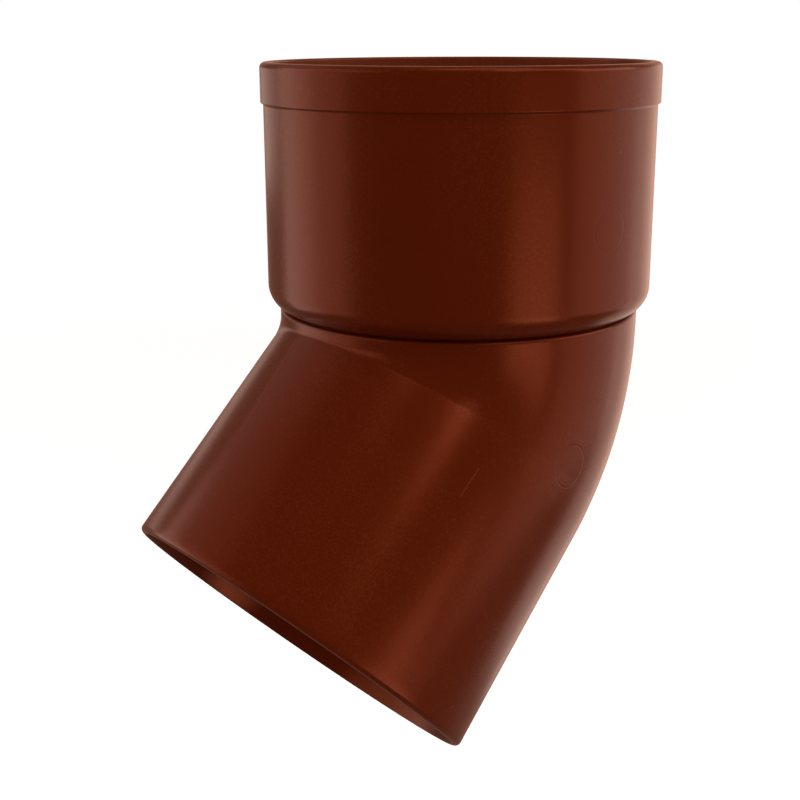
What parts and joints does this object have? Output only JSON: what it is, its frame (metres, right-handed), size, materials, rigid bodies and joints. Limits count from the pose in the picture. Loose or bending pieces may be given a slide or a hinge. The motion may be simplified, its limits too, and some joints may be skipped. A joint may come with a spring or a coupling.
{
  "type": "downspout elbow",
  "caption": "Round moulded elbow that turns a rainwater downpipe outwards by 45 degrees, with a collared socket on top, a rounded shoulder and ledge below it, and a plain outlet that widens.",
  "frame": {"origin": "centre of the socket's mouth, in the plane of its rim", "axes": "+Z out of the socket along the pipe's axis, and the outlet leans towards -X"},
  "size_m": [0.1598, 0.1166, 0.2054],
  "materials": {
    "brown_plastic": "satin"
  },
  "bodies": {
    "root": {"elbow_body": "brown_plastic"}
  },
  "joints": []
}
